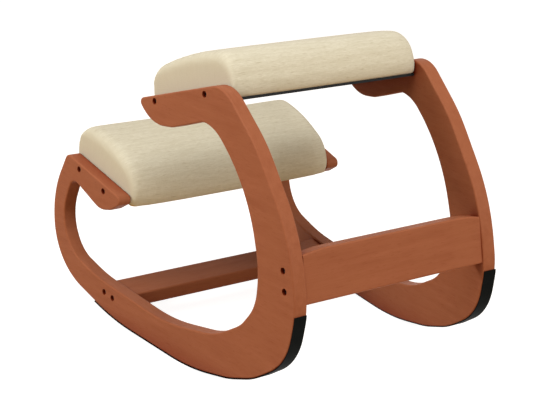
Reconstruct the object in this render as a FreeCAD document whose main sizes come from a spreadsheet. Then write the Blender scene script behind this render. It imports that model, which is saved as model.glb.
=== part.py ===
import FreeCAD, Part
import math
import os
import Sketcher
from FreeCAD import Placement, Rotation, Vector

# Rocking kneeling chair: two looped wooden side frames, two rails, two bolted pads.
# +X is the rear, +Y the sitter's right, +Z up. The origin lies on the floor under the middle.

os.makedirs("parts", exist_ok=True)
doc = FreeCAD.newDocument("kneeling_chair")

# Driving dimensions, in millimetres and degrees
SIZES = {
    "board_thick": 26.0,        # side frames and rails
    "edge_round": 3.0,          # rounding of every wooden edge
    "frame_lift": 1.1,          # floor to the zero height of the frames' outline
    "half_width": 239.0,        # middle plane to a frame's outer face, at the origin
    "toe_angle": 4.05,          # each frame turns in towards the rear
    "lean_angle": 1.55,         # each frame leans in towards the top
    "strip_thick": 1.5,
    "strip_wide": 24.5,
    "rail_tall": 84.0,
    "rail_end_drop": 5.5,       # how far the rear rail's top edge falls at its ends
    "rail_end_run": 58.0,       # length of that fall
    "front_rail_wide": 61.0,
    "panel_thick": 18.0,
    "panel_below": 1.0,         # panel's top below the line of the arms' tops
    "cover_thick": 1.5,
    "pad_gap": 0.3,             # pad to frame
    "seat_crown": 60.0,         # above the line of the arms' tops
    "knee_crown": 57.0,
    "seat_board_thick": 4.5,
    "dust_cloth_thick": 1.0,
    "panel_corner": 8.0,        # radius of the panels' upright corners
    "shank_radius": 3.0,
    "head_radius": 4.9,
    "head_tall": 5.5,
    "recess_radius": 5.5,       # the bored recess that hides a head
    "head_recess": 11.0,        # depth of its floor below the frame's outer face
    "socket_radius": 2.8,
    "socket_deep": 3.0,
    "pad_bolt_long": 30.0,
    "rail_bolt_long": 55.0,
    "nut_radius": 4.9,
    "nut_long": 14.0,
    "rail_nut_depth": 34.0,     # rail's end to the middle of its barrel nuts
    "staple_wide": 10.0,
    "staple_wire": 1.0,
    "staple_leg": 9.0,
    "screw_radius": 1.6,
    "screw_long": 16.0,
    "screw_head_radius": 3.4,
    "screw_head_tall": 1.8,
}

sheet = doc.addObject("Spreadsheet::Sheet", "sizes")
for row, (alias, value) in enumerate(SIZES.items(), start=1):
    sheet.set("A%d" % row, alias)
    sheet.set("B%d" % row, "%g" % value)
    sheet.setAlias("B%d" % row, alias)
doc.recompute()


def size(alias):
    """A driving dimension, read back from the sheet."""
    return float(sheet.get(alias))


THICK = size("board_thick")
SKIN = size("cover_thick")
RUNNING = 0.1                   # gap between a bolt or nut and the bore it sits in
THREAD_GAP = 0.05               # gap between a shank and a nut's plain bore
BORE_PAST_NUT = 30.0            # a rail's bolt bores run on past its barrel nuts

# Outline of a side frame, seen from the side: corner x, z and the radius that rounds it
FRAME_CORNERS = (
    # seat arm: its nose, then along its top to the corner over the leg
    (-85, 426, 8), (138, 496, 55),
    # back of the leg, down to the heel
    (227, 418, 276), (319, 293, 314), (343, 181, 142), (329, 92, 102),
    # underside of the rocker, rear to front
    (253, 41, 156), (191, 19, 210), (86, -1, 449), (-142, 10, 524), (-264, 43, 140),
    # front bend, then the knee arm's top down to its nose
    (-332, 82, 117), (-345, 193, 162), (-299, 278, 14), (-116, 234, 10),
    # underside of the knee arm, to the tight inner corner
    (-159, 208, 19), (-191, 200, 50), (-279, 236, 18),
    # inside of the front bend and the upper edge of the rocker
    (-292, 211, 62), (-314, 154, 81), (-275, 95, 72), (-194, 73, 301), (10, 55, 389),
    # inner corner at the heel, and the front of the leg
    (147, 79, 173), (212, 118, 85), (245, 159, 78), (251, 220, 178), (209, 352, 289),
    # underside of the seat arm
    (125, 420, 74), (95, 426, 29), (12, 397, 61), (-48, 389, 76),
)
STRIP_TOP = 174.0               # height of the rubber strip's end at the heel, in the outline
STRIP_FRONT = -200.0            # x of its front end

# Bolt centres, along each pad or rail
SEAT_BOLTS = (-69.0, 69.0)
KNEE_BOLTS = (-40.0, 40.0)
REAR_RAIL_BOLTS = (-16.5, 16.5)
FRONT_RAIL_BOLTS = (-13.0, 13.0)

# Local axes of each pad and rail: x along it in side view, y across the chair, z square to both
SEAT_PLACE = Placement(Vector(29.0, 0, 461.0), Rotation(Vector(0, 1, 0), -16.9))
KNEE_PLACE = Placement(Vector(-215.0, 0, 258.3), Rotation(Vector(0, 1, 0), 14.9))
REAR_RAIL_PLACE = Placement(Vector(313.5, 0, 227.2), Rotation(Vector(0, 1, 0), -11.0))
FRONT_RAIL_PLACE = Placement(Vector(-150.0, 0, 50.6), Rotation(Vector(0, 1, 0), 7.6))


class Side:
    """One side of the chair: where its frame stands and which way is inwards."""

    def __init__(self, name, inward):
        toe = Rotation(Vector(0, 0, 1), inward * size("toe_angle"))
        lean = Rotation(Vector(1, 0, 0), -inward * size("lean_angle"))
        self.name = name
        self.inward = inward
        base = Vector(0, -inward * size("half_width"), size("frame_lift"))
        self.place = Placement(base, toe.multiply(lean))
        self.normal = self.place.Rotation.multVec(Vector(0, inward, 0))

    def inner_reach(self, x, z):
        """Distance from the middle plane to the frame's inner face at x, z."""
        base = self.place.Base
        rest = THICK - self.normal.x * (x - base.x) - self.normal.z * (z - base.z)
        return -self.inward * (base.y + rest / self.normal.y)

    def on_inner_face(self, x, z):
        return Vector(x, -self.inward * self.inner_reach(x, z), z)


LEFT = Side("left", 1)
RIGHT = Side("right", -1)
SIDES = (LEFT, RIGHT)


def arc(start, middle, end):
    return Part.Arc(start, middle, end).toShape()


def line(start, end):
    return Part.LineSegment(start, end).toShape()


def rounded_corner(before, corner, after, radius):
    """Points where a corner's arc starts, passes its middle and ends."""
    back = (before - corner).normalize()
    ahead = (after - corner).normalize()
    half = back.getAngle(ahead) / 2
    run = radius / math.tan(half)
    bisector = (back + ahead).normalize()
    centre = corner + bisector * (radius / math.sin(half))
    return corner + back * run, centre - bisector * radius, corner + ahead * run


def rounded_outline(corners):
    """Arcs and straight runs of a closed outline in the XZ plane."""
    points = [Vector(x, 0, z) for x, z, radius in corners]
    bends = []
    for i, (x, z, radius) in enumerate(corners):
        after = points[(i + 1) % len(points)]
        bends.append(rounded_corner(points[i - 1], points[i], after, radius))
    edges = []
    for i, (start, middle, end) in enumerate(bends):
        edges.append(arc(start, middle, end))
        edges.append(line(end, bends[(i + 1) % len(bends)][0]))
    return edges


def add_shape(label, shape, place=None):
    """A document object that holds a finished shape under its own name."""
    item = doc.addObject("Part::Feature", label)
    item.Label = label
    item.Shape = shape
    if place is not None:
        item.Placement = place
    return item


def cylinder(radius, length, start, direction):
    return Part.makeCylinder(radius, length, start, direction)


# Bolt axes run square to the frames. Each group has a middle in its pad's or rail's own axes
def bolt_points(side, place, offsets, along, middle):
    """Points on a side's inner face, at offsets either way from the middle of a bolt group."""
    points = []
    for offset in offsets:
        at = place.multVec(middle + along * offset)
        points.append(side.on_inner_face(at.x, at.z))
    return points


ALONG_X = Vector(1, 0, 0)
ALONG_Z = Vector(0, 0, 1)
JOINTS = {
    "seat": (SEAT_PLACE, SEAT_BOLTS, ALONG_X, Vector(-6.0, 0, -8.5)),
    "knee": (KNEE_PLACE, KNEE_BOLTS, ALONG_X, Vector(-3.5, 0, -12.0)),
    "rear_rail": (REAR_RAIL_PLACE, REAR_RAIL_BOLTS, ALONG_Z, Vector(-6.0, 0, -1.5)),
    "front_rail": (FRONT_RAIL_PLACE, FRONT_RAIL_BOLTS, ALONG_X, Vector(-8.5, 0, -1.0)),
}


def joint_points(side, joint):
    place, offsets, along, middle = JOINTS[joint]
    return bolt_points(side, place, offsets, along, middle)


# Side frames
def plane_of(body, role):
    for feature in body.Origin.OriginFeatures:
        if feature.Role == role:
            return feature
    raise ValueError("no plane " + role)


def sketch_on(body, name, edges):
    sketch = body.newObject("Sketcher::SketchObject", name)
    sketch.AttachmentSupport = [(plane_of(body, "XZ_Plane"), "")]
    sketch.MapMode = "FlatFace"
    doc.recompute()
    to_sketch = sketch.Placement.inverse()
    for edge in edges:
        flat = edge.copy()
        flat.transformShape(to_sketch.toMatrix())
        curve = flat.Curve
        if isinstance(curve, Part.Circle):
            first, last = flat.ParameterRange
            if flat.isClosed():
                sketch.addGeometry(Part.Circle(curve), False)
            else:
                sketch.addGeometry(Part.ArcOfCircle(curve, first, last), False)
        else:
            ends = [vertex.Point for vertex in flat.Vertexes]
            sketch.addGeometry(Part.LineSegment(ends[0], ends[1]), False)
    return sketch


def circles_at(points, radius):
    return [Part.Circle(Vector(p.x, 0, p.z), Vector(0, -1, 0), radius).toShape() for p in points]


def checked_pocket(body, sketch, name, inward, setting, value):
    """Pocket from the outer face inwards; fails if it cuts nothing."""
    before = body.Tip.Shape.Volume
    pocket = body.newObject("PartDesign::Pocket", name)
    pocket.Profile = sketch
    pocket.Type = setting
    if setting == "Length":
        pocket.setExpression("Length", value)
    pocket.Reversed = inward < 0
    doc.recompute()
    if before - pocket.Shape.Volume < 1.0:
        pocket.Reversed = inward > 0
        doc.recompute()
    if before - pocket.Shape.Volume < 1.0:
        raise ValueError(name + " cuts nothing")
    body.Tip = pocket


def side_frame(side):
    label = side.name + "_side_frame"
    body = doc.addObject("PartDesign::Body", label)
    body.Label = label
    outline = sketch_on(body, side.name + "_outline", rounded_outline(FRAME_CORNERS))
    pad = body.newObject("PartDesign::Pad", side.name + "_board")
    pad.Profile = outline
    pad.setExpression("Length", "sizes.board_thick")
    pad.Reversed = side.inward > 0
    doc.recompute()
    rim = []
    for number, edge in enumerate(pad.Shape.Edges, start=1):
        box = edge.BoundBox
        if box.YLength < 0.01:
            rim.append("Edge%d" % number)
    rounding = body.newObject("PartDesign::Fillet", side.name + "_rounding")
    rounding.Base = (pad, rim)
    rounding.setExpression("Radius", "sizes.edge_round")
    doc.recompute()
    body.Tip = rounding
    to_local = side.place.inverse()
    centres = []
    for joint in JOINTS:
        centres += [to_local.multVec(point) for point in joint_points(side, joint)]
    bores = sketch_on(body, side.name + "_bores", circles_at(centres, size("shank_radius") + RUNNING))
    checked_pocket(body, bores, side.name + "_bolt_bores", side.inward, "ThroughAll", None)
    seats = sketch_on(body, side.name + "_seats", circles_at(centres, size("recess_radius")))
    checked_pocket(body, seats, side.name + "_head_seats", side.inward, "Length", "sizes.head_recess")
    body.Placement = side.place
    body.setExpression("Placement.Base.y", "%d * sizes.half_width" % -side.inward)
    body.setExpression("Placement.Base.z", "sizes.frame_lift")
    doc.recompute()
    return body


# Rubber strips: a band round the underside of each rocker and up its heel
def rocker_strip(side):
    face = Part.Face(Part.Wire(rounded_outline(FRAME_CORNERS)))
    grown = face.makeOffset2D(size("strip_thick"))
    inset = (THICK - size("strip_wide")) / 2
    across = Vector(0, side.inward * size("strip_wide"), 0)
    band = grown.extrude(across).cut(face.extrude(across))
    covered = [(STRIP_FRONT, -20), (380, -20), (380, STRIP_TOP), (300, STRIP_TOP), (290, 100),
               (200, 45), (100, 25), (STRIP_FRONT, 50)]
    points = [Vector(x, -40, z) for x, z in covered]
    reach = Part.Face(Part.makePolygon(points + [points[0]])).extrude(Vector(0, 80, 0))
    strip = band.common(reach).Solids[0]
    strip.translate(Vector(0, side.inward * inset, 0))
    return add_shape(side.name + "_rocker_strip", strip, side.place)


# Rails: boards cut off along the frames' inner faces
def between_frames():
    """The space between the two inner faces, as one solid with room to spare fore and aft."""
    faces = []
    for side in SIDES:
        corners = [(-400, -50), (400, -50), (400, 600), (-400, 600)]
        points = [side.on_inner_face(x, z) for x, z in corners]
        faces.append(Part.makePolygon(points + [points[0]]))
    return Part.makeLoft(faces, True, True)


def rail_blank(outline, thick_axis):
    """A board of the frames' thickness with rounded long edges, about its own middle."""
    face = Part.Face(Part.Wire(outline))
    board = face.extrude(thick_axis * THICK)
    board.translate(thick_axis * (-THICK / 2))
    long_edges = [edge for edge in board.Edges if edge.BoundBox.YLength > 30]
    return board.makeFillet(size("edge_round"), long_edges)


def rear_rail_outline():
    top = size("rail_tall") / 2
    drop = size("rail_end_drop")
    reach = 230.0
    straight = LEFT.inner_reach(REAR_RAIL_PLACE.Base.x, REAR_RAIL_PLACE.Base.z) - size("rail_end_run")
    radius = (size("rail_end_run") ** 2 + drop ** 2) / (2 * drop)

    def fall(y):
        return top - radius + math.sqrt(radius ** 2 - (y - straight) ** 2)

    edges = [line(Vector(0, -straight, top), Vector(0, straight, top))]
    for way in (1, -1):
        middle = (straight + reach) / 2
        start = Vector(0, way * straight, top)
        passing = Vector(0, way * middle, fall(middle))
        end = Vector(0, way * reach, fall(reach))
        edges.append(arc(start, passing, end))
        edges.append(line(end, Vector(0, way * reach, -top)))
    edges.append(line(Vector(0, -reach, -top), Vector(0, reach, -top)))
    return Part.__sortEdges__(edges)


def front_rail_outline():
    half = size("front_rail_wide") / 2
    reach = 270.0
    corners = [(-half, -reach), (half, -reach), (half, reach), (-half, reach)]
    points = [Vector(x, y, 0) for x, y in corners]
    return Part.makePolygon(points + [points[0]]).Edges


def nut_centres(side, joint):
    """Middles of a rail's barrel nuts, on the axes of its bolts."""
    inwards = side.normal * size("rail_nut_depth")
    return [point + inwards for point in joint_points(side, joint)]


def rail(label, joint, outline, thick_axis, nut_axis):
    """A rail with its bolt bores and barrel nut holes; nut holes open on the hidden face."""
    place = JOINTS[joint][0]
    board = rail_blank(outline, thick_axis)
    board.Placement = place
    board = board.common(between_frames())
    depth = (THICK + size("nut_long")) / 2
    for side in SIDES:
        for point in joint_points(side, joint):
            bore = size("rail_nut_depth") + BORE_PAST_NUT
            board = board.cut(cylinder(size("shank_radius") + RUNNING, bore, point, side.normal))
        for centre in nut_centres(side, joint):
            start = centre - nut_axis * (size("nut_long") / 2)
            board = board.cut(cylinder(size("nut_radius") + RUNNING, depth, start, nut_axis))
    return add_shape(label, board)


# Fasteners
def bolt(point, side, long):
    """Socket head bolt whose head seats at the bottom of the frame's recess."""
    seat = point - side.normal * (THICK - size("head_recess"))
    shank = cylinder(size("shank_radius"), long, seat, side.normal)
    end = seat + side.normal * long
    tip = Part.makeCone(size("shank_radius"), size("shank_radius") / 2, size("shank_radius") / 2,
                        end, side.normal)
    head = cylinder(size("head_radius"), size("head_tall"), seat, side.normal * -1)
    outer_end = seat - side.normal * size("head_tall")
    turn = Placement(outer_end, Rotation(Vector(0, 0, 1), side.normal))
    corners = []
    for k in range(6):
        angle = math.radians(60 * k)
        corner = Vector(math.cos(angle), math.sin(angle), 0) * size("socket_radius")
        corners.append(turn.multVec(corner))
    socket = Part.Face(Part.makePolygon(corners + [corners[0]]))
    socket = socket.extrude(side.normal * size("socket_deep"))
    return shank.fuse([tip, head]).cut(socket).removeSplitter()


def bolts(joint, long):
    made = []
    for side in SIDES:
        made += [bolt(point, side, long) for point in joint_points(side, joint)]
    return add_shape(joint + "_bolts", Part.makeCompound(made))


def insert_nuts(joint):
    """Threaded inserts in a pad panel's side edges, open towards the frame."""
    made = []
    for side in SIDES:
        for point in joint_points(side, joint):
            start = point + side.normal * (size("pad_gap") + SKIN)
            body = cylinder(size("nut_radius"), size("nut_long"), start, side.normal)
            bore = cylinder(size("shank_radius") + THREAD_GAP, size("nut_long"), start, side.normal)
            made.append(body.cut(bore))
    return add_shape(joint + "_insert_nuts", Part.makeCompound(made))


def barrel_nuts(joint, nut_axis):
    made = []
    for side in SIDES:
        for centre in nut_centres(side, joint):
            start = centre - nut_axis * (size("nut_long") / 2)
            body = cylinder(size("nut_radius"), size("nut_long"), start, nut_axis)
            through = centre - side.normal * size("nut_long")
            bore = cylinder(size("shank_radius") + THREAD_GAP, 2 * size("nut_long"), through, side.normal)
            made.append(body.cut(bore))
    return add_shape(joint + "_barrel_nuts", Part.makeCompound(made))


# Pads: a plywood panel, foam with a crown, and a fabric cover turned in underneath
class PadForm:
    """Side view of a pad, in its own axes: x rearwards, z above the line of the arms' tops."""

    def __init__(self, name, place, profile, panel_span):
        self.name = name
        self.place = place
        self.profile = profile
        self.panel_span = panel_span
        self.panel_top = -size("panel_below")
        self.panel_low = self.panel_top - size("panel_thick")

    def half(self, x, z, inset):
        """Half the pad's width at x, z, once inset from each frame."""
        at = self.place.multVec(Vector(x, 0, z))
        return LEFT.inner_reach(at.x, at.z) - inset

    def station(self, share, inset, drop, draw, skin):
        """Closed section across the pad: share runs from -1 to 1 between the frames."""
        middle_x = (self.profile[0][0] + self.profile[-1][0]) / 2
        points = []
        for x, z in self.profile:
            way = 1 if x < middle_x else -1
            height = max(z, 0) / max(p[1] for p in self.profile)
            lean = (draw + skin) * min(1.0, abs(x - middle_x) / 90.0)
            x_in = x + way * lean
            z_in = self.panel_low if z == self.profile[0][1] and skin else z - height * (drop + skin)
            points.append(Vector(x_in, share * self.half(x_in, z_in, inset + skin), z_in))
        edges = []
        for i in range(0, len(points) - 2, 2):
            edges.append(arc(points[i], points[i + 1], points[i + 2]))
        edges.append(line(points[-1], points[0]))
        return Part.Wire(edges)

    def form(self, skin):
        """Crowned solid with drawn-in ends; skin shrinks it by the cover's thickness."""
        gap = size("pad_gap")
        stations = ((gap, 13.0, 3.0), (gap + 6, 5.5, 1.5), (gap + 20, 2.0, 0.5), (gap + 60, 0.5, 0.0),
                    (gap + 130, 0.0, 0.0))
        wires = [self.station(-1, inset, drop, draw, skin) for inset, drop, draw in stations]
        wires.append(self.station(0, gap, 0.0, 0.0, skin))
        for inset, drop, draw in reversed(stations):
            wires.append(self.station(1, inset, drop, draw, skin))
        return Part.makeLoft(wires, True, False, False, 3)

    def slab(self, low, top, front, rear, inset):
        """Flat layer between two heights that keeps its distance from both frames."""
        wires = []
        for z in (low, top):
            corners = [(front, -1), (rear, -1), (rear, 1), (front, 1)]
            points = [Vector(x, way * self.half(x, z, inset), z) for x, way in corners]
            wires.append(Part.makePolygon(points + [points[0]]))
        return Part.makeLoft(wires, True, True)


SEAT = PadForm("seat", SEAT_PLACE, (
    (-107, -21), (-114, -2), (-113, 15), (-106, 38), (-80, 52), (-4, size("seat_crown")),
    (72, 56), (97, 41), (107, 14), (108, -4), (102, -21)), (-103.0, 98.0))
KNEE = PadForm("knee", KNEE_PLACE, (
    (-87, -21), (-94, -2), (-96, 17), (-91, 41), (-70, 54), (-15, size("knee_crown")),
    (42, 49), (76, 34), (94, 8), (97, -7), (92, -21)), (-84.0, 88.0))
COVER_LOW = -21.0
RETURN_WIDE = 24.0              # how far the fabric turns in under the panel
STAPLE_ROW = 14.0               # panel's edge to the rows of staples
STAPLE_TURN = 8.0               # staples are shot a little askew
STAPLES_ACROSS = 8
STAPLES_ALONG = 1
SCREW_ROWS = (-84.0, 84.0)      # screws under the seat: x of the rows, y along them
SCREW_PLACES = (-147.0, -49.0, 49.0, 147.0)


def local_bolts(pad, radius, long):
    """Cylinders along a pad's bolts, in the pad's own axes."""
    back = pad.place.inverse()
    made = []
    for side in SIDES:
        for point in joint_points(side, pad.name):
            made.append(cylinder(radius, long, back.multVec(point), back.Rotation.multVec(side.normal)))
    return made


def panel(pad):
    front, rear = pad.panel_span
    inset = size("pad_gap") + SKIN
    board = pad.slab(pad.panel_low, pad.panel_top, front, rear, inset)
    upright = [edge for edge in board.Edges if edge.BoundBox.ZLength > size("panel_thick") - 1]
    board = board.makeFillet(size("panel_corner"), upright)
    board = board.cut(local_bolts(pad, size("nut_radius") + RUNNING, inset + size("nut_long")))
    board = board.cut(local_bolts(pad, size("shank_radius") + RUNNING, 2 * size("pad_bolt_long")))
    return board


def foam(pad):
    above = Part.makeBox(400, 600, 200, Vector(-200, -300, pad.panel_top))
    return pad.form(SKIN).common(above)


def cover(pad):
    """Fabric shell, open underneath inside its turned-in edge."""
    front, rear = pad.panel_span
    inset = size("pad_gap") + SKIN + RETURN_WIDE
    opening = pad.slab(COVER_LOW - 5, pad.panel_low + 5, front + RETURN_WIDE, rear - RETURN_WIDE, inset)
    shell = pad.form(0.0).cut([pad.form(SKIN), opening])
    return shell.cut(local_bolts(pad, size("shank_radius") + 0.5, 12))


def along_edges(pad, inset, count_across, count_along):
    """Places round the turned-in fabric: x, y and whether the edge there runs across."""
    front, rear = pad.panel_span
    places = []
    for x in (front + inset, rear - inset):
        half = pad.half(x, COVER_LOW, inset + RETURN_WIDE)
        for k in range(count_across):
            places.append((x, half * (2 * k / (count_across - 1) - 1), True))
    for way in (-1, 1):
        for k in range(count_along):
            x = front + (rear - front) * (k + 1) / (count_along + 1)
            places.append((x, way * pad.half(x, COVER_LOW, inset), False))
    return places


def staples(pad):
    """Staples through the turned-in fabric into the panel."""
    wide = size("staple_wide")
    wire = size("staple_wire")
    low = COVER_LOW + RUNNING
    made = []
    for x, y, across in along_edges(pad, STAPLE_ROW, STAPLES_ACROSS, STAPLES_ALONG):
        crown = Part.makeBox(wide, wire, wire, Vector(-wide / 2, -wire / 2, 0))
        legs = [Part.makeBox(wire, wire, size("staple_leg"), Vector(start, -wire / 2, 0))
                for start in (-wide / 2, wide / 2 - wire)]
        staple = crown.fuse(legs).removeSplitter()
        turn = 90 if across else 0
        staple.Placement = Placement(Vector(x, y, low), Rotation(ALONG_Z, turn + STAPLE_TURN))
        made.append(staple)
    return made


def underside_screws(pad):
    """Countersunk screws that hold the board under the seat, between the staples."""
    low = COVER_LOW - size("seat_board_thick")
    made = []
    for x in SCREW_ROWS:
        for y in SCREW_PLACES:
            shank = cylinder(size("screw_radius"), size("screw_long"), Vector(x, y, low), ALONG_Z)
            head = Part.makeCone(size("screw_head_radius"), size("screw_radius"),
                                 size("screw_head_tall"), Vector(x, y, low), ALONG_Z)
            made.append(shank.fuse(head).removeSplitter())
    return made


def make_pads():
    for pad in (SEAT, KNEE):
        pins = staples(pad)
        screws = underside_screws(pad) if pad is SEAT else []
        board = panel(pad).cut(pins + screws)
        fabric = cover(pad).cut(pins + screws)
        add_shape(pad.name + "_panel", board, pad.place)
        add_shape(pad.name + "_foam", foam(pad), pad.place)
        add_shape(pad.name + "_cover", fabric, pad.place)
        add_shape(pad.name + "_cover_staples", Part.makeCompound(pins), pad.place)
    front, rear = SEAT.panel_span
    low = COVER_LOW - size("seat_board_thick")
    screws = underside_screws(SEAT)
    board = SEAT.slab(low, COVER_LOW, front + 1, rear - 1, size("pad_gap") + 3).cut(screws)
    add_shape("seat_underside_board", board, SEAT_PLACE)
    add_shape("seat_underside_screws", Part.makeCompound(screws), SEAT_PLACE)
    front, rear = KNEE.panel_span
    low = COVER_LOW - size("dust_cloth_thick")
    cloth = KNEE.slab(low, COVER_LOW, front + 9, rear - 9, size("pad_gap") + 10)
    add_shape("knee_underside_cloth", cloth, KNEE_PLACE)


for side in SIDES:
    side_frame(side)
    rocker_strip(side)
rear_nut_axis = REAR_RAIL_PLACE.Rotation.multVec(Vector(-1, 0, 0))
front_nut_axis = FRONT_RAIL_PLACE.Rotation.multVec(Vector(0, 0, -1))
rail("rear_rail", "rear_rail", rear_rail_outline(), ALONG_X, rear_nut_axis)
rail("front_rail", "front_rail", front_rail_outline(), ALONG_Z, front_nut_axis)
make_pads()
bolts("seat", size("pad_bolt_long"))
bolts("knee", size("pad_bolt_long"))
bolts("rear_rail", size("rail_bolt_long"))
bolts("front_rail", size("rail_bolt_long"))
insert_nuts("seat")
insert_nuts("knee")
barrel_nuts("rear_rail", rear_nut_axis)
barrel_nuts("front_rail", front_nut_axis)
doc.recompute()

# Every object is sound before anything is written
for item in doc.Objects:
    if "Invalid" in item.State or "Error" in item.State:
        raise ValueError(item.Label + " failed")
kept = [item for item in doc.Objects
        if item.TypeId == "PartDesign::Body" or item.TypeId == "Part::Feature"]
for item in kept:
    shape = item.Shape
    if shape.isNull() or not shape.isValid() or not shape.Solids:
        raise ValueError(item.Label + " has no sound solid")
    box = shape.optimalBoundingBox(False)
    print("%-24s %2d solids %9.0f mm3  x %6.1f %6.1f  y %6.1f %6.1f  z %6.1f %6.1f" % (
        item.Label, len(shape.Solids), shape.Volume, box.XMin, box.XMax, box.YMin, box.YMax,
        box.ZMin, box.ZMax))
    shape.exportStep("parts/%s.step" % item.Label)
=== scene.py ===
"""A rocking kneeling chair: stained side frames, two rails and two upholstered pads.

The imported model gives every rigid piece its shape. This script dresses those pieces, makes the
two cushions as cloth drawn over foam, and sets the floor, the light and the camera.
"""

import logging
import math
from dataclasses import dataclass
from enum import Enum

import bmesh
import bpy
from mathutils import Matrix, Vector


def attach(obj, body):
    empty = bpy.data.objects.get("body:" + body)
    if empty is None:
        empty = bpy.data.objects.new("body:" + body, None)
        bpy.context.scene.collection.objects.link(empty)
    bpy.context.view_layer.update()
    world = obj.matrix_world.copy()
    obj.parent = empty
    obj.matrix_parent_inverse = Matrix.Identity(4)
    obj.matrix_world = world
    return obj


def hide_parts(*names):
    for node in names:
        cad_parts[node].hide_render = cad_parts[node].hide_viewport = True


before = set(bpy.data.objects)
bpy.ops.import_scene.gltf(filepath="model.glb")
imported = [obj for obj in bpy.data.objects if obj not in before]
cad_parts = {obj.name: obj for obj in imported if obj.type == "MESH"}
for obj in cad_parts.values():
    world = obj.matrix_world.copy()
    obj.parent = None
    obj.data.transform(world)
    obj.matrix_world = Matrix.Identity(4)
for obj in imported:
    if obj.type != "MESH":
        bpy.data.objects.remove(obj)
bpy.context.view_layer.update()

LOG = logging.getLogger("kneeling_chair")
MM = 0.001
# Nearly all of a noise's values lie within this range
NOISE_RANGE = (0.3, 0.7)
# A narrower range turns the noise into patches with firmer edges
PATCH_RANGE = (0.35, 0.65)


class Grain(Enum):
    """Which way the fibres of a wooden board run."""

    FORE_AFT = (1.0, 0.0, 0.0)
    ACROSS = (0.0, 1.0, 0.0)


class Body(Enum):
    """The rigid bodies that pieces ride on."""

    ROOT = "root"


def linear(hex_colour: str) -> tuple[float, float, float, float]:
    """Turn an sRGB hex colour into a linear one.

    Args:
        hex_colour: six hex digits, with no mark before them.

    Returns:
        Linear red, green, blue and an alpha of one.
    """
    channels = []
    for start in (0, 2, 4):
        value = int(hex_colour[start:start + 2], 16) / 255
        if value <= 0.04045:
            channels.append(value / 12.92)
        else:
            channels.append(((value + 0.055) / 1.055) ** 2.4)
    return channels[0], channels[1], channels[2], 1.0


def add_node(tree: bpy.types.NodeTree, kind: str, settings: dict | None = None,
             links: dict | None = None) -> bpy.types.Node:
    """Add a shader node with its settings and links.

    Args:
        tree: the material's or world's node tree.
        kind: the node's type.
        settings: values by the name or number of an input, or by the name of a property.
        links: sockets to wire in, by the name or number of an input.

    Returns:
        The new node.
    """
    node = tree.nodes.new(kind)
    for key, value in (settings or {}).items():
        if isinstance(key, str) and hasattr(node, key):
            setattr(node, key, value)
        else:
            node.inputs[key].default_value = value
    for key, socket in (links or {}).items():
        tree.links.new(socket, node.inputs[key])
    return node


def new_material(name: str) -> tuple[bpy.types.Material, bpy.types.NodeTree]:
    """Make an empty node material.

    Args:
        name: the material's name.

    Returns:
        The material and its node tree.
    """
    material = bpy.data.materials.new(name)
    material.use_nodes = True
    material.node_tree.nodes.clear()
    return material, material.node_tree


def close_material(tree: bpy.types.NodeTree, shader: bpy.types.NodeSocket) -> None:
    """Wire a shader to the material's output.

    Args:
        tree: the material's node tree.
        shader: the shader's output socket.
    """
    add_node(tree, "ShaderNodeOutputMaterial", links={"Surface": shader})


def object_pattern(tree: bpy.types.NodeTree, size_mm: tuple[float, float, float],
                   detail: float) -> bpy.types.NodeSocket:
    """Noise on object coordinates whose features have a real size.

    Args:
        tree: the material's node tree.
        size_mm: length of one feature along X, Y and Z, in millimetres.
        detail: finer layers on top of it.

    Returns:
        The noise's value, about 0.5 on average.
    """
    place = add_node(tree, "ShaderNodeTexCoord")
    scale = tuple(1.0 / (size * MM) for size in size_mm)
    turned = add_node(tree, "ShaderNodeMapping", {"Scale": scale}, {"Vector": place.outputs["Object"]})
    noise = add_node(tree, "ShaderNodeTexNoise", {"Scale": 1.0, "Detail": detail},
                     {"Vector": turned.outputs["Vector"]})
    return noise.outputs["Fac"]


def remap(tree: bpy.types.NodeTree, value: bpy.types.NodeSocket, before: tuple[float, float],
          after: tuple[float, float]) -> bpy.types.NodeSocket:
    """Stretch a range of values onto another, clamped at both ends.

    Args:
        tree: the material's node tree.
        value: the socket to stretch.
        before: the range that goes in.
        after: the range that comes out.

    Returns:
        The stretched value.
    """
    node = add_node(tree, "ShaderNodeMapRange",
                    {"From Min": before[0], "From Max": before[1],
                     "To Min": after[0], "To Max": after[1]}, {"Value": value})
    return node.outputs["Result"]


def blend_colour(tree: bpy.types.NodeTree, share: bpy.types.NodeSocket,
                 low: str | bpy.types.NodeSocket,
                 high: str | bpy.types.NodeSocket) -> bpy.types.NodeSocket:
    """Mix two colours by a share that runs from 0 to 1.

    Args:
        tree: the material's node tree.
        share: how much of the second colour shows.
        low: the first colour, as hex digits or a socket.
        high: the second one, in the same way.

    Returns:
        The mixed colour.
    """
    node = add_node(tree, "ShaderNodeMix", {"data_type": "RGBA"}, {0: share})
    for index, colour in ((6, low), (7, high)):
        if isinstance(colour, str):
            node.inputs[index].default_value = linear(colour)
        else:
            tree.links.new(colour, node.inputs[index])
    return node.outputs[2]


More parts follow.
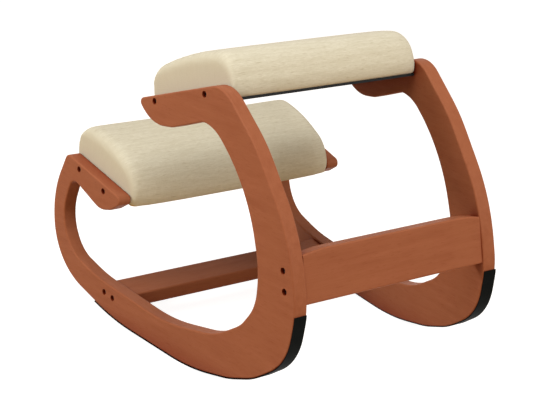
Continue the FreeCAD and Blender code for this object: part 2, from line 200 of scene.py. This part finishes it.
@dataclass(frozen=True)
class StainedBeech:
    """Beech stained reddish brown under satin lacquer: fine straight fibres and short dark flecks.

    The stain evens out the colour, so figure and flecks are faint and the lacquer's gloss is low.
    """

    name: str
    grain: Grain
    light: str = "AC6B4C"
    body: str = "A26344"
    dark: str = "925336"
    fleck: str = "77391F"
    # Painted shade: near other surfaces, in corners, under the pads and above the floor, the wood
    # darkens towards this tone
    painted_shade: str = "7C2A10"
    shade_reach_mm: float = 60.0
    shade_samples: int = 8
    roughness: float = 0.5
    gloss: float = 0.08
    figure_mm: float = 150.0
    figure_wide_mm: float = 11.0
    fibre_mm: float = 34.0
    fibre_wide_mm: float = 1.6
    fleck_mm: float = 15.0
    fleck_wide_mm: float = 1.5
    cloud_mm: float = 45.0
    fibre_share: float = 0.22
    fleck_range: tuple[float, float] = (0.62, 0.78)
    fleck_share: float = 0.3
    pore_mm: float = 0.3
    pore_strength: float = 0.12

    def along(self, length: float, width: float) -> tuple[float, float, float]:
        """Size along X, Y and Z of a feature that lies along the grain."""
        return tuple(length if axis else width for axis in self.grain.value)

    def build(self) -> bpy.types.Material:
        """Make the material.

        Returns:
            The finished material.
        """
        material, tree = new_material(self.name)
        figure = object_pattern(tree, self.along(self.figure_mm, self.figure_wide_mm), 3.0)
        fibre = object_pattern(tree, self.along(self.fibre_mm, self.fibre_wide_mm), 3.0)
        fleck = object_pattern(tree, self.along(self.fleck_mm, self.fleck_wide_mm), 1.0)
        cloud = object_pattern(tree, (self.cloud_mm,) * 3, 2.0)
        toned = blend_colour(tree, remap(tree, figure, NOISE_RANGE, (0.15, 0.85)), self.dark, self.light)
        toned = blend_colour(tree, remap(tree, cloud, PATCH_RANGE, (0.25, 0.85)), toned, self.body)
        fibres = remap(tree, fibre, (0.35, 0.7), (0.0, self.fibre_share))
        toned = blend_colour(tree, fibres, toned, self.dark)
        flecks = remap(tree, fleck, self.fleck_range, (0.0, self.fleck_share))
        toned = blend_colour(tree, flecks, toned, self.fleck)
        # Painted shade: ambient occlusion mixes the shade tone in where other surfaces lie within reach
        shade_probe = add_node(tree, "ShaderNodeAmbientOcclusion",
                        {"samples": self.shade_samples, "Distance": self.shade_reach_mm * MM})
        clear = remap(tree, shade_probe.outputs["AO"], (0.3, 0.9), (0.0, 1.0))
        toned = blend_colour(tree, clear, self.painted_shade, toned)
        rough = remap(tree, fibre, NOISE_RANGE, (self.roughness - 0.05, self.roughness + 0.06))
        bump = add_node(tree, "ShaderNodeBump",
                        {"Strength": self.pore_strength, "Distance": self.pore_mm * MM},
                        {"Height": fibre})
        shader = add_node(tree, "ShaderNodeBsdfPrincipled",
                          {"IOR": 1.5, "Specular IOR Level": self.gloss},
                          {"Base Color": toned, "Roughness": rough, "Normal": bump.outputs["Normal"]})
        close_material(tree, shader.outputs["BSDF"])
        return material


@dataclass(frozen=True)
class SlubWeave:
    """Linen-look upholstery cloth: plain weave with thick uneven threads along the pad's width.

    The yarn is matt and fuzzy, so its gloss is low and it has a little sheen.
    """

    name: str
    light: str = "DFDCC8"
    body: str = "D5D1BB"
    dark: str = "C5BFA3"
    slub: str = "A99C78"
    # Over a pad's ends the cloth is pulled tight and its pattern fades to this colour
    end: str = "D3CFB8"
    # Real threads lie 0.7 mm apart, too fine to show, so they are drawn twice as far apart
    thread_mm: float = 1.5
    # A slub is a stretch of thread that is thicker than the rest by this much
    slub_mm: float = 16.0
    slub_thickness: float = 1.3
    streak_mm: float = 60.0
    streak_wide_mm: float = 6.0
    # Length of thread between two crossings that show as one stroke
    stroke_mm: float = 9.0
    weft_share: float = 0.55
    warp_share: float = 0.2
    slub_range: tuple[float, float] = (0.6, 0.78)
    slub_share: float = 0.45
    end_range: tuple[float, float] = (0.1, 0.8)
    end_share: float = 0.8
    relief_mm: float = 0.5
    relief_strength: float = 0.35
    roughness: float = 0.92
    gloss: float = 0.2
    sheen: float = 0.15

    def pattern(self, tree: bpy.types.NodeTree, long_mm: float, wide_mm: float,
                detail: float) -> bpy.types.NodeSocket:
        """Noise on the cloth's own map, long along the threads that run across the pad.

        Args:
            tree: the material's node tree.
            long_mm: length of a feature along the thread.
            wide_mm: its width.
            detail: finer layers on top of it.

        Returns:
            The noise's value.
        """
        place = add_node(tree, "ShaderNodeUVMap", {"uv_map": "Cloth"})
        scale = (1.0 / (long_mm * MM), 1.0 / (wide_mm * MM), 1.0)
        turned = add_node(tree, "ShaderNodeMapping", {"Scale": scale}, {"Vector": place.outputs["UV"]})
        noise = add_node(tree, "ShaderNodeTexNoise", {"Scale": 1.0, "Detail": detail},
                         {"Vector": turned.outputs["Vector"]})
        return noise.outputs["Fac"]

    def build(self) -> bpy.types.Material:
        """Make the material.

        Returns:
            The finished material.
        """
        material, tree = new_material(self.name)
        weft = self.pattern(tree, self.stroke_mm, self.thread_mm, 2.0)
        warp = self.pattern(tree, self.thread_mm, self.stroke_mm, 2.0)
        slub = self.pattern(tree, self.slub_mm, self.thread_mm * self.slub_thickness, 1.0)
        streak = self.pattern(tree, self.streak_mm, self.streak_wide_mm, 2.0)
        streaks = remap(tree, streak, PATCH_RANGE, (0.0, 1.0))
        toned = blend_colour(tree, streaks, self.body, self.light)
        across = remap(tree, weft, NOISE_RANGE, (0.0, self.weft_share))
        toned = blend_colour(tree, across, toned, self.dark)
        along = remap(tree, warp, (0.4, 0.75), (0.0, self.warp_share))
        toned = blend_colour(tree, along, toned, self.dark)
        slubs = remap(tree, slub, self.slub_range, (0.0, self.slub_share))
        toned = blend_colour(tree, slubs, toned, self.slub)
        end = add_node(tree, "ShaderNodeAttribute", {"attribute_name": "End"})
        faded = remap(tree, end.outputs["Fac"], self.end_range, (0.0, self.end_share))
        toned = blend_colour(tree, faded, toned, self.end)
        height = add_node(tree, "ShaderNodeMath", {"operation": "ADD"}, {0: weft, 1: warp})
        bump = add_node(tree, "ShaderNodeBump",
                        {"Strength": self.relief_strength, "Distance": self.relief_mm * MM},
                        {"Height": height.outputs["Value"]})
        shader = add_node(tree, "ShaderNodeBsdfPrincipled",
                          {"Roughness": self.roughness, "IOR": 1.45, "Specular IOR Level": self.gloss,
                           "Sheen Weight": self.sheen, "Sheen Roughness": 0.6},
                          {"Base Color": toned, "Normal": bump.outputs["Normal"]})
        close_material(tree, shader.outputs["BSDF"])
        return material


@dataclass(frozen=True)
class PlainFinish:
    """A finish of one colour with a fine grit that breaks up its gloss."""

    name: str
    colour: str
    second_tone: str
    roughness: float
    grit_mm: float
    metallic: float = 0.0
    bump_mm: float = 0.05
    bump_strength: float = 0.3
    gloss: float = 0.5
    # A worn patch is this many grains of grit long
    patch_grains: float = 12.0

    def build(self) -> bpy.types.Material:
        """Make the material.

        Returns:
            The finished material.
        """
        material, tree = new_material(self.name)
        grit = object_pattern(tree, (self.grit_mm,) * 3, 3.0)
        cloud = object_pattern(tree, (self.grit_mm * self.patch_grains,) * 3, 2.0)
        toned = blend_colour(tree, remap(tree, cloud, (0.35, 0.7), (0.0, 1.0)), self.colour, self.second_tone)
        rough = remap(tree, grit, NOISE_RANGE, (self.roughness - 0.06, self.roughness + 0.08))
        bump = add_node(tree, "ShaderNodeBump",
                        {"Strength": self.bump_strength, "Distance": self.bump_mm * MM},
                        {"Height": grit})
        shader = add_node(tree, "ShaderNodeBsdfPrincipled",
                          {"Metallic": self.metallic, "Specular IOR Level": self.gloss},
                          {"Base Color": toned, "Roughness": rough, "Normal": bump.outputs["Normal"]})
        close_material(tree, shader.outputs["BSDF"])
        return material


def dress(node: str, material: bpy.types.Material) -> None:
    """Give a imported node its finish.

    Args:
        node: the node's name.
        material: what it is made of.
    """
    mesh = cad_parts[node].data
    mesh.materials.clear()
    mesh.materials.append(material)
    LOG.info("%s is dressed in %s", node, material.name)


def arc_through(start: Vector, middle: Vector, end: Vector, steps: int) -> list[Vector]:
    """Points on the arc through three points, without the last one.

    Args:
        start: first point, in a plane.
        middle: a point on the arc between the ends.
        end: last point.
        steps: how many points to give.

    Returns:
        The points, evenly spaced by angle.
    """
    ax, ay = middle - start
    bx, by = end - start
    twice = 2 * (ax * by - ay * bx)
    a_sq = ax * ax + ay * ay
    b_sq = bx * bx + by * by
    centre = start + Vector(((by * a_sq - ay * b_sq) / twice, (ax * b_sq - bx * a_sq) / twice))
    first = start - centre
    turn = first.angle_signed(middle - centre) + (middle - centre).angle_signed(end - centre)
    points = []
    for k in range(steps):
        angle = -turn * k / steps
        points.append(centre + Matrix.Rotation(angle, 2) @ first)
    return points


@dataclass(frozen=True)
class SidePlane:
    """Where the flat inner faces of the two side frames lie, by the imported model's own measures."""

    half_width: float = 239.0 * MM
    board: float = 26.0 * MM
    lift: float = 1.1 * MM
    # Degrees by which a frame turns in towards the rear and leans in towards the top
    toe: float = 4.05
    lean: float = 1.55

    def reach(self, x: float, z: float) -> float:
        """Distance from the middle plane to an inner face.

        Args:
            x: place fore and aft, in metres.
            z: height, in metres.

        Returns:
            The distance, in metres.
        """
        turn = Matrix.Rotation(math.radians(self.toe), 3, "Z") @ Matrix.Rotation(
            -math.radians(self.lean), 3, "X")
        normal = turn @ Vector((0.0, 1.0, 0.0))
        rest = self.board - normal.x * x - normal.z * (z - self.lift)
        return self.half_width - rest / normal.y


@dataclass
class Cushion:
    """A pad of foam under one drawn cloth, held between the arms of the side frames.

    The place and the profile are in millimetres, the tilt is in degrees. The profile is the pad's
    side view, x and z in its own axes: from every second point an arc runs through the next one.
    """

    name: str
    replaced: tuple[str, ...]
    place: tuple[float, float]
    tilt: float
    profile: tuple[tuple[float, float], ...]
    sides: SidePlane
    arc_steps: int = 7
    gap: float = 0.5 * MM
    # The pad's ends are rounded over, in steps of so many degrees
    edge_round: float = 17.0 * MM
    edge_step: int = 18
    # Beside the rounding the crown lies lower by the drop, and the rear edge is drawn in
    end_drop: float = 1.0 * MM
    rear_draw: float = 6.0 * MM
    end_draw: float = 0.4
    # Millimetres in from the end, and the share of drop and draw that is left there
    rise: tuple[tuple[float, float], ...] = ((30.0, 0.5), (60.0, 0.2), (110.0, 0.0))
    swell: float = 1.0 * MM
    # The share of the swell that is left where the cloth touches an arm
    edge_swell: float = 0.35
    # The share of the rounding over which the cloth's threads turn down the pad's end
    tuck_share: float = 0.6
    voxel: float = 4.0 * MM
    smoothing: int = 2
    pressure: float = 4.0
    frames: int = 20

    def to_row(self) -> Matrix:
        """Turn from the pad's own axes to the chair's."""
        turn = Matrix.Rotation(math.radians(self.tilt), 4, "Y")
        return Matrix.Translation((self.place[0] * MM, 0.0, self.place[1] * MM)) @ turn

    def outline(self) -> list[Vector]:
        """Side view of the pad, from the lower front edge over the crown to the lower rear edge.

        Returns:
            Points in the pad's own x and z, in metres.
        """
        knots = [Vector(point) * MM for point in self.profile]
        points = []
        for k in range(0, len(knots) - 2, 2):
            points += arc_through(knots[k], knots[k + 1], knots[k + 2], self.arc_steps)
        return points + [knots[-1]]

    def half(self, x: float, z: float) -> float:
        """Half the pad's width at a place in its own axes."""
        at = self.to_row() @ Vector((x, 0.0, z))
        return self.sides.reach(at.x, at.z) - self.gap

    def section(self, inset: float, drop: float, draw: float) -> list[tuple[float, float, float]]:
        """One section across the pad.

        Args:
            inset: distance in from the pad's end.
            drop: how far the crown falls there.
            draw: share of the rear's draw that shows there.

        Returns:
            x, half width and z of each point.
        """
        outline = self.outline()
        middle = (outline[0].x + outline[-1].x) / 2
        top = max(point.y for point in outline)
        reach = max(abs(point.x - middle) for point in outline)
        made = []
        for point in outline:
            share = (point.x - middle) / reach
            x = point.x - draw * max(share, 0.0) * self.rear_draw
            z = point.y - drop * max(point.y, 0.0) / top
            made.append((x, self.half(x, z) - inset, z))
        return made

    def stations(self) -> list[list[tuple[float, float, float]]]:
        """Sections from one end to the middle: the rounded edge, then the slow rise to the crown.

        Returns:
            The sections in order, each with x, half width and z of its points.
        """
        made = []
        for degrees in range(0, 91, self.edge_step):
            angle = math.radians(degrees)
            away = 1 - math.sin(angle)
            made.append(self.section(self.edge_round * (1 - math.cos(angle)),
                                     self.edge_round * away + self.end_drop, away + self.end_draw))
        for inset, share in self.rise:
            made.append(self.section(inset * MM, self.end_drop * share, self.end_draw * share))
        return made

    def rough_form(self) -> bpy.types.Object:
        """Closed form of the pad, a loop drawn from end to end and capped.

        Returns:
            The new piece, still without the swell of the foam.
        """
        stations = self.stations()
        rows = [(-1, row) for row in stations] + [(1, row) for row in reversed(stations)]
        form = bmesh.new()
        way, row = rows[0]
        loop = [form.verts.new((x, way * y, z)) for x, y, z in row]
        edges = [form.edges.new((loop[k], loop[(k + 1) % len(loop)])) for k in range(len(loop))]
        first = list(edges)
        for way, row in rows[1:]:
            drawn = bmesh.ops.extrude_edge_only(form, edges=edges)["geom"]
            edges = [item for item in drawn if isinstance(item, bmesh.types.BMEdge)
                     and not any(v in loop for v in item.verts)]
            fresh = {}
            for face in [item for item in drawn if isinstance(item, bmesh.types.BMFace)]:
                for edge in face.edges:
                    a, b = edge.verts
                    if (a in loop) != (b in loop):
                        old, new = (a, b) if a in loop else (b, a)
                        fresh[loop.index(old)] = new
            loop = [fresh[k] for k in range(len(row))]
            for vert, (x, y, z) in zip(loop, row):
                vert.co = (x, way * y, z)
        bmesh.ops.contextual_create(form, geom=first)
        bmesh.ops.contextual_create(form, geom=edges)
        bmesh.ops.recalc_face_normals(form, faces=form.faces)
        bmesh.ops.transform(form, matrix=self.to_row(), verts=form.verts)
        mesh = bpy.data.meshes.new(self.name)
        form.to_mesh(mesh)
        form.free()
        piece = bpy.data.objects.new(self.name, mesh)
        bpy.context.scene.collection.objects.link(piece)
        return piece

    def apply(self, piece: bpy.types.Object) -> None:
        """Bake a piece's modifiers into its mesh.

        Args:
            piece: the cushion.
        """
        depsgraph = bpy.context.evaluated_depsgraph_get()
        baked = bpy.data.meshes.new_from_object(piece.evaluated_get(depsgraph))
        piece.modifiers.clear()
        old = piece.data
        piece.data = baked
        bpy.data.meshes.remove(old)
        baked.name = self.name

    def remesh(self, piece: bpy.types.Object) -> None:
        """Give the piece an even square mesh, fit for the cloth to move on.

        Args:
            piece: the cushion.
        """
        modifier = piece.modifiers.new("even", "REMESH")
        modifier.mode = "VOXEL"
        modifier.voxel_size = self.voxel
        self.apply(piece)
        form = bmesh.new()
        form.from_mesh(piece.data)
        for _ in range(self.smoothing):
            bmesh.ops.smooth_vert(form, verts=form.verts, factor=0.5, use_axis_x=True,
                                  use_axis_y=True, use_axis_z=True)
        form.to_mesh(piece.data)
        form.free()

    def inflate(self, piece: bpy.types.Object) -> None:
        """Swell the cloth by simulation, no further than the swell allows.

        Args:
            piece: the cushion.
        """
        rest = [vert.co.copy() for vert in piece.data.vertices]
        cloth = piece.modifiers.new("cloth", "CLOTH")
        cloth.settings.use_pressure = True
        cloth.settings.uniform_pressure_force = self.pressure
        cloth.settings.effector_weights.gravity = 0.0
        cloth.point_cache.frame_start = 1
        cloth.point_cache.frame_end = self.frames
        scene = bpy.context.scene
        for number in range(1, self.frames + 1):
            scene.frame_set(number)
        self.apply(piece)
        scene.frame_set(1)
        for vert, start in zip(piece.data.vertices, rest):
            vert.co = start + self.allowed(start, vert.co - start)

    def allowed(self, start: Vector, move: Vector) -> Vector:
        """Shorten a point's move where the cloth is held: low down and beside the arms.

        Args:
            start: where the point lay before the foam swelled.
            move: how far the simulation has moved it.

        Returns:
            The move that it may keep.
        """
        local = self.to_row().inverted() @ start
        top = max(z for _, z in self.profile) * MM
        height = min(1.0, max(0.0, local.z / top))
        end = self.half(local.x, local.z) - abs(local.y)
        free = min(1.0, max(0.0, end / self.edge_round))
        cap = self.swell * height * (self.edge_swell + (1 - self.edge_swell) * free)
        if move.length > cap:
            move = move.normalized() * cap
        return move

    def settle(self, piece: bpy.types.Object) -> None:
        """Keep the cloth off the arms and its underside flat, then refine the mesh once.

        Args:
            piece: the cushion.
        """
        to_row = self.to_row()
        back = to_row.inverted()
        low = self.profile[0][1] * MM
        for vert in piece.data.vertices:
            local = back @ vert.co
            local.z = max(local.z, low)
            reach = self.half(local.x, local.z)
            local.y = min(reach, max(-reach, local.y))
            vert.co = to_row @ local
        refine = piece.modifiers.new("refine", "SUBSURF")
        refine.levels = 1
        refine.render_levels = 1
        self.apply(piece)
        for polygon in piece.data.polygons:
            polygon.use_smooth = True

    def map_cloth(self, piece: bpy.types.Object) -> None:
        """Lay the cloth's own map: across the pad one way, round its girth the other.

        Args:
            piece: the cushion.
        """
        outline = self.outline()
        lengths = [0.0]
        for before, after in zip(outline, outline[1:]):
            lengths.append(lengths[-1] + (after - before).length)
        back = self.to_row().inverted()
        mesh = piece.data
        places = []
        ends = mesh.attributes.new("End", "FLOAT", "POINT")
        for vert in mesh.vertices:
            local = back @ vert.co
            at = Vector((local.x, local.z))
            near = min(range(len(outline)), key=lambda k: (outline[k] - at).length_squared)
            run = outline[min(near + 1, len(outline) - 1)] - outline[max(near - 1, 0)]
            girth = lengths[near] + (at - outline[near]).dot(run.normalized())
            crown = outline[near].y - local.z
            end = self.half(local.x, local.z) - abs(local.y)
            tuck = max(0.0, 1.0 - end / (self.edge_round * self.tuck_share))
            across = local.y + math.copysign(max(0.0, crown) * tuck, local.y)
            places.append((across, girth))
            ends.data[vert.index].value = tuck
        layer = mesh.uv_layers.new(name="Cloth")
        for loop in mesh.loops:
            layer.data[loop.index].uv = places[loop.vertex_index]

    def build(self, material: bpy.types.Material) -> None:
        """Args:
            material: the cloth.
        """
        piece = self.rough_form()
        self.remesh(piece)
        self.inflate(piece)
        self.settle(piece)
        self.map_cloth(piece)
        piece.data.materials.append(material)
        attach(piece, Body.ROOT.value)
        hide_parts(*self.replaced)
        LOG.info("%s has %d faces", self.name, len(piece.data.polygons))


@dataclass
class Upholstery:
    """The two pads: their cushions, the panels inside and what closes them underneath."""

    sides: SidePlane

    def build(self) -> None:
        """Make and dress both pads."""
        cloth = SlubWeave("slub_weave_linen").build()
        seat = Cushion("seat_cushion", ("seat_cover", "seat_foam"), (29.0, 461.0), -16.9, (
            (-107, -21), (-114, -2), (-113, 15), (-106, 38), (-80, 52), (-4, 60),
            (72, 56), (97, 41), (107, 14), (108, -4), (102, -21)), self.sides)
        knee = Cushion("knee_cushion", ("knee_cover", "knee_foam"), (-215.0, 258.3), 14.9, (
            (-87, -21), (-94, -2), (-96, 17), (-91, 41), (-70, 54), (-15, 57),
            (42, 49), (76, 34), (94, 8), (97, -7), (92, -21)), self.sides, rear_draw=10.0 * MM)
        for cushion in (seat, knee):
            cushion.build(cloth)
        plywood = PlainFinish("birch_plywood", "C9A878", "B8955F", 0.6, 3.0).build()
        for node in ("seat_panel", "knee_panel"):
            dress(node, plywood)
        board = PlainFinish("matt_black_fibreboard", "0E0E0E", "181818", 0.6, 1.0, gloss=0.2).build()
        dress("seat_underside_board", board)
        felt = PlainFinish("black_felted_cloth", "161616", "202020", 0.9, 1.5, gloss=0.1).build()
        dress("knee_underside_cloth", felt)


@dataclass
class Woodwork:
    """The two side frames and the two rails between them, with their rubber strips."""

    sides: tuple[str, ...] = ("left", "right")
    rails: tuple[str, ...] = ("rear_rail", "front_rail")

    def build(self) -> None:
        """Dress the boards and the strips."""
        fore_aft = StainedBeech("stained_beech_frames", Grain.FORE_AFT).build()
        across = StainedBeech("stained_beech_rails", Grain.ACROSS).build()
        rubber = PlainFinish("smooth_black_rubber", "060806", "0B0D0B", 0.55, 0.8, gloss=0.03).build()
        for side in self.sides:
            dress(side + "_side_frame", fore_aft)
            dress(side + "_rocker_strip", rubber)
        for rail in self.rails:
            dress(rail, across)


@dataclass
class Fasteners:
    """Bolts, nuts, staples and screws."""

    pads: tuple[str, ...] = ("seat", "knee")
    rails: tuple[str, ...] = ("rear_rail", "front_rail")

    def build(self) -> None:
        """Dress the steel."""
        # Painted shade: the zinc is drawn darker than bright plate, and its second tone darker still, so
        # that the bolt heads in their deep recesses look dark
        zinc = PlainFinish("bright_zinc_plate", "8E9190", "5C5F5E", 0.3, 0.6, 1.0).build()
        black = PlainFinish("blackened_steel", "1C1C1C", "2A2A2A", 0.5, 0.6, 1.0).build()
        for pad in self.pads:
            for kind in ("_bolts", "_insert_nuts", "_cover_staples"):
                dress(pad + kind, zinc)
        for rail in self.rails:
            for kind in ("_bolts", "_barrel_nuts"):
                dress(rail + kind, zinc)
        dress("seat_underside_screws", black)


@dataclass(frozen=True)
class Lamp:
    """A square soft lamp: where it hangs and its side, in metres, and its power in watts."""

    name: str
    place: tuple[float, float, float]
    size: float
    watts: float


@dataclass
class Studio:
    """Pale floor, soft light and the camera at the photograph's view."""

    eye: tuple[float, float, float] = (2.0489, -1.5229, 1.0637)
    right: tuple[float, float, float] = (0.5860, 0.8095, 0.0358)
    up: tuple[float, float, float] = (-0.2737, 0.1560, 0.9491)
    back: tuple[float, float, float] = (0.7627, -0.5660, 0.3129)
    focal_px: float = 1528.0
    frame_px: float = 550.0
    sensor_mm: float = 36.0
    # The world's colour and strength as light; where it is seen it is plain white
    ambient: str = "FFDAB8"
    ambient_level: float = 0.26
    white: str = "FFFFFF"
    floor_half: float = 8.0
    # The floor is drawn nearly white by its own glow, and throws back only a warm tone
    floor_pale: str = "B4B2AE"
    floor_warm: str = "C4A878"
    floor_glow: float = 0.92
    target: tuple[float, float, float] = (0.0, 0.0, 0.25)
    lamps: tuple[Lamp, ...] = (Lamp("overhead", (0.6, -0.6, 2.6), 1.8, 40.0),
                               Lamp("left", (-0.9, -2.8, 1.5), 0.6, 39.0),
                               Lamp("right", (2.6, 0.7, 1.3), 0.8, 26.0))

    def camera(self) -> None:
        """Place the camera where the photograph was taken from."""
        data = bpy.data.cameras.new("camera")
        data.sensor_width = self.sensor_mm
        data.lens = self.focal_px / self.frame_px * self.sensor_mm
        camera = bpy.data.objects.new("camera", data)
        axes = Matrix((self.right, self.up, self.back)).transposed().to_4x4()
        camera.matrix_world = Matrix.Translation(self.eye) @ axes
        bpy.context.scene.collection.objects.link(camera)
        bpy.context.scene.camera = camera

    def seen_ray(self, tree: bpy.types.NodeTree) -> bpy.types.NodeSocket:
        """One for rays by which the background is seen: straight, mirrored or through glass.

        Args:
            tree: the material's or world's node tree.

        Returns:
            One for a seen ray, zero for one that only brings light.
        """
        rays = add_node(tree, "ShaderNodeLightPath").outputs
        seen = rays["Is Camera Ray"]
        for kind in ("Is Glossy Ray", "Is Transmission Ray"):
            either = add_node(tree, "ShaderNodeMath", {"operation": "MAXIMUM"},
                              {0: seen, 1: rays[kind]})
            seen = either.outputs["Value"]
        return seen

    def floor(self) -> None:
        """White floor that keeps a faint shadow."""
        form = bmesh.new()
        bmesh.ops.create_grid(form, x_segments=1, y_segments=1, size=self.floor_half)
        mesh = bpy.data.meshes.new("floor")
        form.to_mesh(mesh)
        form.free()
        floor = bpy.data.objects.new("floor", mesh)
        bpy.context.scene.collection.objects.link(floor)
        material, tree = new_material("painted_floor")
        pale = add_node(tree, "ShaderNodeBsdfDiffuse", {"Color": linear(self.floor_pale)})
        warm = add_node(tree, "ShaderNodeBsdfDiffuse", {"Color": linear(self.floor_warm)})
        glow = add_node(tree, "ShaderNodeEmission",
                        {"Color": linear(self.white), "Strength": self.floor_glow})
        shown = add_node(tree, "ShaderNodeAddShader",
                         links={0: pale.outputs["BSDF"], 1: glow.outputs["Emission"]})
        mixed = add_node(tree, "ShaderNodeMixShader",
                         links={0: self.seen_ray(tree), 1: warm.outputs["BSDF"],
                                2: shown.outputs["Shader"]})
        close_material(tree, mixed.outputs["Shader"])
        mesh.materials.append(material)

    def world(self) -> None:
        """Soft warm light from all round, and white where it is seen."""
        world = bpy.data.worlds.new("studio")
        bpy.context.scene.world = world
        world.use_nodes = True
        tree = world.node_tree
        tree.nodes.clear()
        seen = self.seen_ray(tree)
        level = remap(tree, seen, (0.0, 1.0), (self.ambient_level, 1.0))
        tint = blend_colour(tree, seen, self.ambient, self.white)
        glow = add_node(tree, "ShaderNodeBackground", {}, {"Color": tint, "Strength": level})
        add_node(tree, "ShaderNodeOutputWorld", links={"Surface": glow.outputs["Background"]})

    def hang(self, lamp: Lamp) -> None:
        """Hang a lamp so that it faces the chair.

        Args:
            lamp: its name, place, size and power.
        """
        data = bpy.data.lights.new(lamp.name, "AREA")
        data.size = lamp.size
        data.energy = lamp.watts
        light = bpy.data.objects.new(lamp.name, data)
        light.location = lamp.place
        aim = Vector(self.target) - Vector(lamp.place)
        light.rotation_euler = aim.to_track_quat("-Z", "Y").to_euler()
        bpy.context.scene.collection.objects.link(light)

    def build(self) -> None:
        """Set the stage."""
        self.camera()
        self.floor()
        self.world()
        for lamp in self.lamps:
            self.hang(lamp)
        bpy.context.scene.view_settings.view_transform = "Standard"


def main() -> None:
    """Build the chair and its stage in order."""
    logging.basicConfig(level=logging.INFO, format="%(message)s")
    sides = SidePlane()
    Studio().build()
    Woodwork().build()
    Fasteners().build()
    Upholstery(sides).build()


if __name__ == "__main__":
    main()
